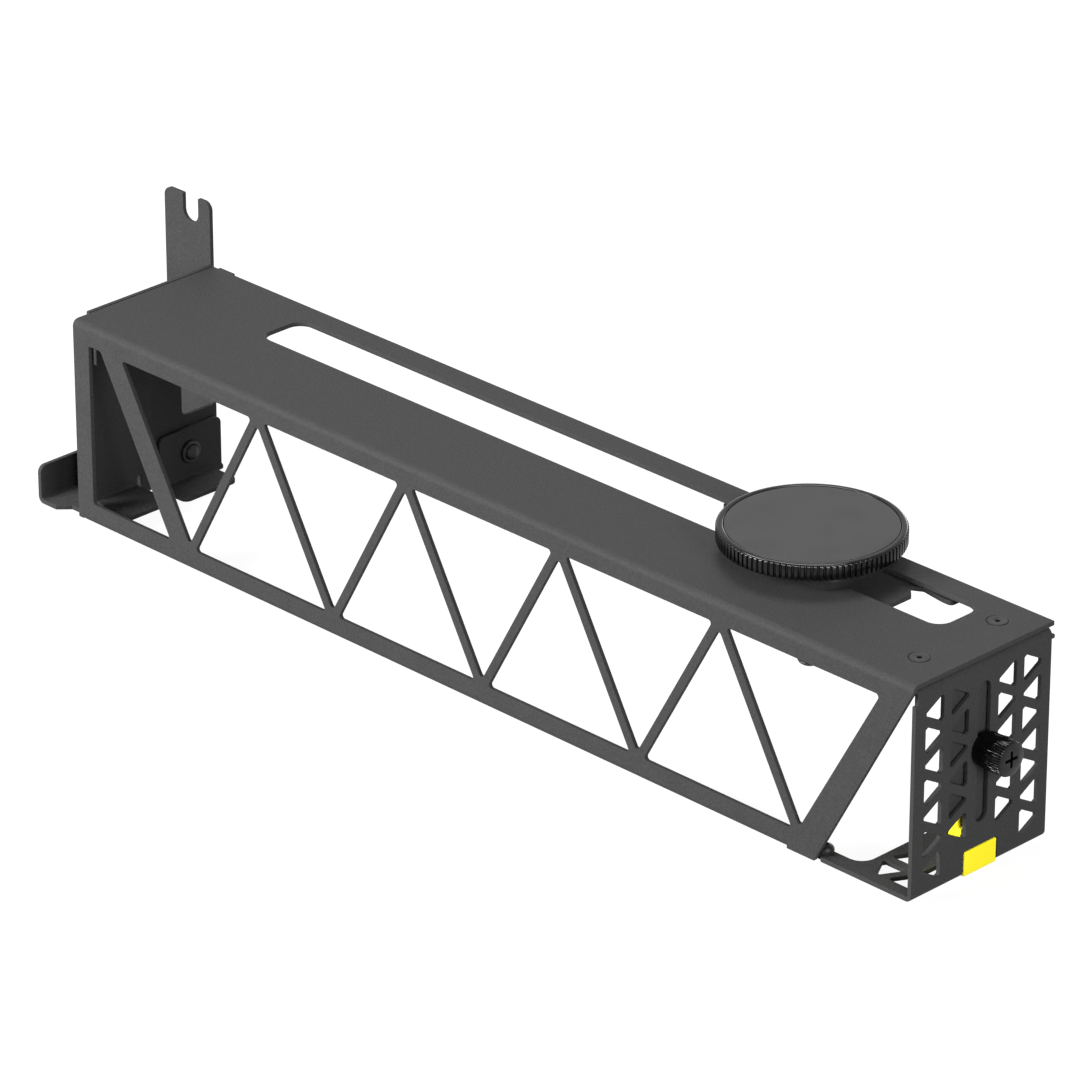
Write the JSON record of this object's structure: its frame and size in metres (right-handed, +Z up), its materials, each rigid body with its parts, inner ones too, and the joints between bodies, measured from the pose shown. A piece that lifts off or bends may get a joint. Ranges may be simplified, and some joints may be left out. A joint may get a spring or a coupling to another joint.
{
  "type": "graphics card support bracket",
  "caption": "Folded truss rail that screws to a case slot at one end and stands on a drop leg at the other, with a sliding screw lift that holds up a graphics card.",
  "frame": {"origin": "middle of the bottom of the whole object's bounding box", "axes": "+X along the rail from the slot tab to the drop leg, +Y from the truss web towards the back, +Z up"},
  "size_m": [0.3152, 0.0566, 0.0741],
  "materials": {
    "coated_steel": "fine textured powder coat",
    "black_screw": "satin black oxide",
    "bright_steel": "zinc plated",
    "brass": "machined",
    "yellow_plastic": "moulded, matt",
    "black_plastic": "moulded, matt",
    "gloss_black": "gloss black, ridged",
    "rubber_pad": "soft matt rubber"
  },
  "bodies": {
    "frame": {"truss_frame": "coated_steel", "end_bracket": "coated_steel", "rear_mount_bracket": "coated_steel", "flange_rivets": "black_screw", "inner_angle": "coated_steel", "angle_nut": "black_screw", "angle_bolt": "bright_steel", "flush_screws": "black_screw", "flush_nuts": "bright_steel", "floor_screw": "black_screw"},
    "leg": {"leg_slide": "coated_steel", "leg_foot": "yellow_plastic", "leg_nut": "bright_steel"},
    "thumbscrew": {"thumbscrew": "gloss_black"},
    "carriage": {"carriage_cap": "black_plastic", "carriage_glide": "black_plastic", "carriage_tray": "coated_steel", "tray_screws": "black_screw", "threaded_bush": "brass"},
    "pad": {"pad_carrier": "black_plastic", "support_pad": "rubber_pad"},
    "wheel": {"knurled_wheel": "gloss_black", "spindle": "bright_steel", "spindle_clip": "bright_steel"}
  },
  "joints": [
    {"name": "carriage_slide", "type": "slide", "parent": "frame", "child": "carriage", "axis": [1, 0, 0], "range_m": [-0.167, 0.01]},
    {"name": "pad_lift", "type": "slide", "parent": "carriage", "child": "pad", "axis": [0, 0, 1], "range_m": [0, 0.02]},
    {"name": "wheel_turn", "type": "hinge", "parent": "pad", "child": "wheel", "pos_m": [0.08532, 0.00561, 0.0612], "axis": [0, 0, 1], "range_deg": [0, 7200]},
    {"name": "leg_drop", "type": "slide", "parent": "frame", "child": "leg", "axis": [0, 0, -1], "range_m": [0, 0.017]},
    {"name": "thumbscrew_turn", "type": "hinge", "parent": "leg", "child": "thumbscrew", "pos_m": [0.15382, -0.00411, 0.033], "axis": [1, 0, 0], "continuous": true}
  ],
  "couplings": [
    {"joint": "wheel_turn", "follows": "pad_lift", "rad_per_m": 6283.2}
  ]
}
